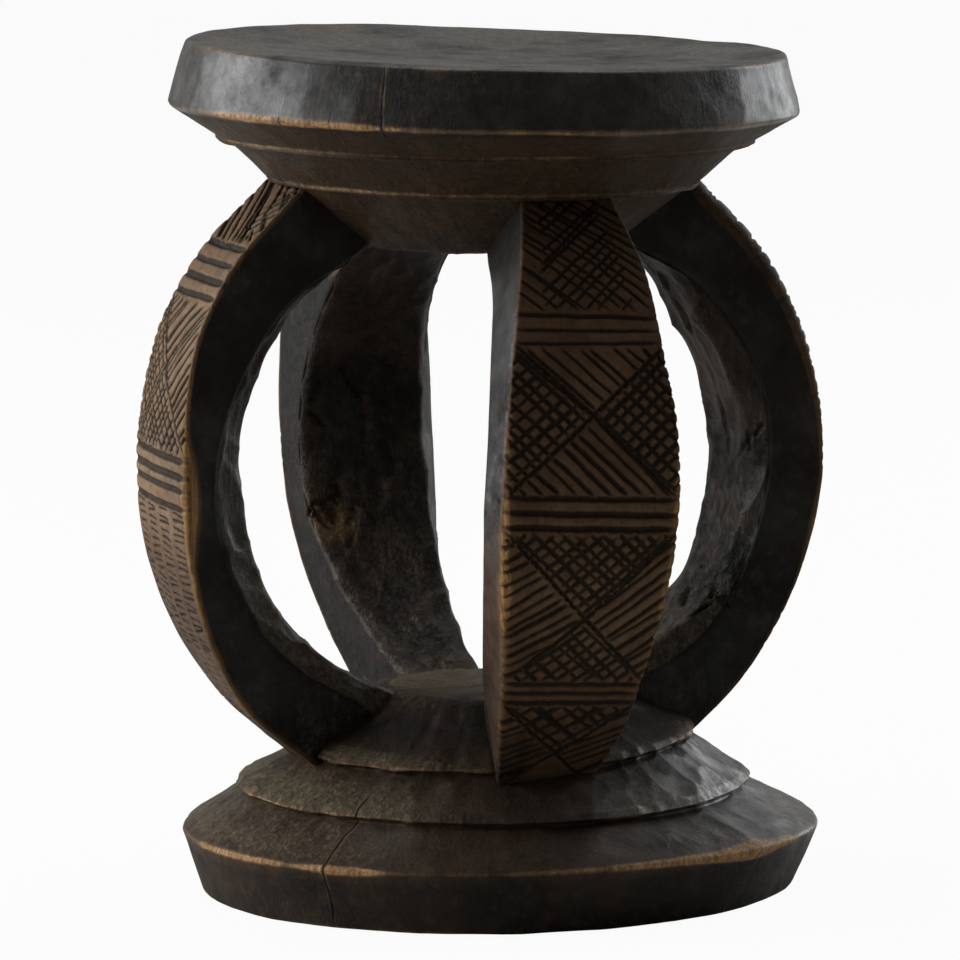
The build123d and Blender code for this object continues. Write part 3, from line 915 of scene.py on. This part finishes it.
class Pattern:  # collects the strokes of one rib on its flat face; heights are mm above the floor
    def __init__(self, name, run, seed):
        self.name = name
        self.run = run
        self.margin = ribs[name]["margin"]
        self.dice = random.Random(seed)
        self.points, self.widths, self.depths = [], [], []

    def down(self, z):
        heights, down = self.run
        return float(np.interp(-z, -heights, down))

    def half(self, y, side):
        fall = np.interp(y, self.run[1], -self.run[0])
        share = np.interp(fall, [-z for z in outerZ], np.linspace(0, 1, len(outerZ)))
        return smoothLine(ribs[self.name]["leafLeft" if side < 0 else "leafRight"], share) - self.margin

    def stroke(self, start, end, width, depth, loose=0.5):
        dice = self.dice
        for x, y in (start, end):
            self.points.append((x + dice.gauss(0, loose), y + dice.gauss(0, loose), 0))
        scale = dice.uniform(0.82, 1.18)
        self.widths += [width * scale] * 2
        self.depths += [depth * scale] * 2

    def band(self, heights, width=2.1, depth=1.4):
        for z in heights:
            y = self.down(z)
            start = (-self.half(y, -1) - cutting["overArris"], y)
            end = (self.half(y, 1) + cutting["overArris"], y)
            self.stroke(start, end, width, depth, 0.45)

    def hatch(self, inside, angle, spacing, width, depth):
        # parallel strokes wherever inside(x, y) is true
        dice = self.dice
        middle = self.down(ribMesh["bellyZ"])
        along = np.arange(-260, 260, 0.7)
        step = -middle - 60.0
        while step < middle + 60:
            step += spacing * dice.uniform(0.88, 1.12)
            tilt = radians(angle + dice.gauss(0, 1.1))
            x = -sin(radians(angle)) * step + cos(tilt) * along
            y = middle + cos(radians(angle)) * step + sin(tilt) * along
            edges = np.flatnonzero(np.diff(np.concatenate([[0], inside(x, y).astype(int), [0]])))
            for first, last in zip(edges[::2], edges[1::2] - 1):
                if along[last] - along[first] > cutting["shortest"]:
                    self.stroke((x[first], y[first]), (x[last], y[last]), width, depth, 0.35)

    def strip(self, topZ, lowZ, angle, spacing, first=0.0, last=1.0, width=cutting["hatchWidth"], depth=1.2):
        # one way of hatching over a whole panel, or between two shares of its width
        top, low = self.down(topZ) + cutting["inset"], self.down(lowZ) - cutting["inset"]

        def inside(x, y):
            left, right = self.half(y, -1), self.half(y, 1)
            share = (x + left) / (left + right)
            return (y > top) & (y < low) & (share > first) & (share < last)

        self.hatch(inside, angle, spacing, width, depth)

    def panel(self, topZ, lowZ, kinds, spacing=5.0, depth=1.2):
        # a panel split by its diagonals; kinds gives the hatching angles of its four fields
        top, low = self.down(topZ), self.down(lowZ)
        topLeft, topRight = (-self.half(top, -1), top), (self.half(top, 1), top)
        lowLeft, lowRight = (-self.half(low, -1), low), (self.half(low, 1), low)

        def above(x, y, first, second):
            (x0, y0), (x1, y1) = first, second
            return y < y0 + (y1 - y0) * (x - x0) / (x1 - x0)

        def inField(field, x, y):
            falling, rising = above(x, y, topLeft, lowRight), above(x, y, lowLeft, topRight)
            wanted = {"top": falling & rising, "low": ~falling & ~rising,
                      "right": falling & ~rising, "left": ~falling & rising}[field]
            within = (y > top + cutting["inset"]) & (y < low - cutting["inset"])
            return wanted & within & (x > -self.half(y, -1) - 0.5) & (x < self.half(y, 1) + 0.5)

        for start, end in ((topLeft, lowRight), (topRight, lowLeft)):
            self.stroke(start, end, cutting["diagonalWidth"], depth * cutting["diagonalMore"], 0.8)
        for field, angles in kinds.items():
            for angle in angles:
                inside = partial(inField, field)
                self.hatch(inside, angle, spacing, cutting["hatchWidth"], depth)

    def chips(self, topZ, lowZ, columns, spacing, depth=0.95):
        # rows of short nicks
        y, low = self.down(topZ) + 2, self.down(lowZ)
        while y < low - 1:
            for column in range(columns):
                wide = self.half(y, -1) + self.half(y, 1)
                x = -self.half(y, -1) + wide * (column + 0.5) / columns
                reach = wide / columns * 0.36
                self.stroke((x - reach, y), (x + reach, y + self.dice.uniform(-1, 1)), 0.85, depth, 0.4)
            y += spacing * self.dice.uniform(0.85, 1.15)

    def splinters(self, z, spot, size, count):
        # deep short tears along the grain
        for _ in range(count):
            x = self.dice.gauss(spot, size * 0.6)
            y = self.dice.gauss(self.down(z), size * 0.8)
            lean = self.dice.gauss(0, 2.5)
            start = (x - lean, y - self.dice.uniform(3, 8))
            end = (x + lean, y + self.dice.uniform(3, 8))
            self.stroke(start, end, 1.5, 1.7)

    def cutInto(self, piece):
        mesh = bpy.data.meshes.new("strokes")
        points = (np.array(self.points) * mm).tolist()
        mesh.from_pydata(points, [(k, k + 1) for k in range(0, len(points), 2)], [])
        for label, values in (("cutWidth", self.widths), ("cutDepth", self.depths)):
            field = mesh.attributes.new(label, "FLOAT", "POINT")
            field.data.foreach_set("value", [value * mm for value in values])
        lines = addObject("strokes", mesh)
        values = {"Strokes": lines, "Seed": self.dice.uniform(0, 9), "Material": woods["carved_faces"]}
        applyTree(piece, carveTree, values)
        bpy.data.objects.remove(lines)


# each call gives heights in mm, then angles in degrees, spacing, and the width and depth of the strokes
def carveFront(cut):
    cut.strip(345, 286, 42, 4.7, 0.0, 1.0, 1.5, 1.1)
    cut.strip(338, 287, -44, 5.0, 0.15, 0.85, 1.3, 0.9)
    cut.band([285, 279, 273], 1.8, 1.1)
    cut.panel(272, 203, {"left": [42, -42], "right": [42, -42], "top": [42], "low": [42]}, 5.2)
    cut.band([202.4, 196, 189])
    cut.panel(188, 115, {"top": [42, -42], "low": [42, -42], "left": [-33], "right": [-38]}, 4.8)
    cut.band([114.5, 110, 105])
    cut.panel(104, 58, {"top": [42, -42], "left": [-30], "right": [-33]}, 5.0)


def carveLeft(cut):
    cut.strip(345, 312, 58, 4.2, 0.0, 0.8, 1.6, 2.1)
    cut.strip(345, 314, 38, 3.8, 0.8, 1.0, 1.3, 1.5)
    cut.strip(345, 316, -48, 3.8, 0.6, 1.0, 1.3, 1.5)
    cut.band([311, 303.5, 296, 288.5], 2.6, 2.1)
    cut.panel(287, 216, {"left": [-46, 42], "right": [-45], "top": [-45], "low": [-45, 42]}, 4.8, 1.7)
    cut.band([215, 207.5, 200, 192.5], 2.5, 2.0)
    cut.chips(191, 122, 4, 3.3, 1.3)
    cut.chips(124, 76, 4, 4.4, 0.6)


def carveRight(cut):
    cut.splinters(126, -78, 14, 9)
    cut.splinters(215, -80, 8, 3)
    cut.panel(340, 300, {"left": [45], "right": [45], "low": [45, -45], "top": [45]}, 5.2)
    cut.band([299, 292, 285, 278], 1.8, 1.2)
    cut.panel(276, 211, {"left": [42, -42], "right": [42, -42], "top": [-42], "low": [-42]}, 5.2)
    cut.band([209.5, 203, 196.5])
    cut.panel(195, 125, {"top": [42, -42], "low": [42, -42], "left": [36], "right": [36]}, 5.2)
    cut.band([123.5, 117, 110.5])
    cut.panel(109, 58, {"top": [42, -42], "left": [30], "right": [30]}, 5.0)


def carveBack(cut):
    cut.splinters(160, 66, 9, 10)
    cut.splinters(230, 75, 12, 5)
    cut.panel(340, 290, {"left": [-42], "right": [-42], "low": [42, -42], "top": [-42]}, 5.0)
    cut.band([288.5, 282, 275.5], 1.7, 1.1)
    cut.panel(274, 204, {"left": [-36], "right": [-36], "top": [42, -42], "low": [42, -42]}, 5.0)
    cut.band([202.5, 196, 189.5])
    cut.panel(188, 120, {"left": [42, -42], "right": [42, -42], "top": [42], "low": [42]}, 5.0)
    cut.band([118.5, 112, 105.5])
    cut.panel(104, 58, {"top": [42, -42], "left": [-30], "right": [-30]}, 5.0)


carvers = {"rib_front": carveFront, "rib_right": carveRight, "rib_back": carveBack, "rib_left": carveLeft}
for seed, (name, carve) in enumerate(carvers.items()):
    piece, run = makeRib(name)
    pattern = Pattern(name, run, 40 + seed)
    carve(pattern)
    pattern.cutInto(piece)
    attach(piece, "root")
    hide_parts(name)
    print(name, "carved with", len(pattern.widths) // 2, "strokes")

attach(seat, "root")
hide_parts("seat_disc", "seat_cone", "seat_neck")
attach(foot, "root")
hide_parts("base_neck", "base_cone", "base_foot")

print("stool dressed")
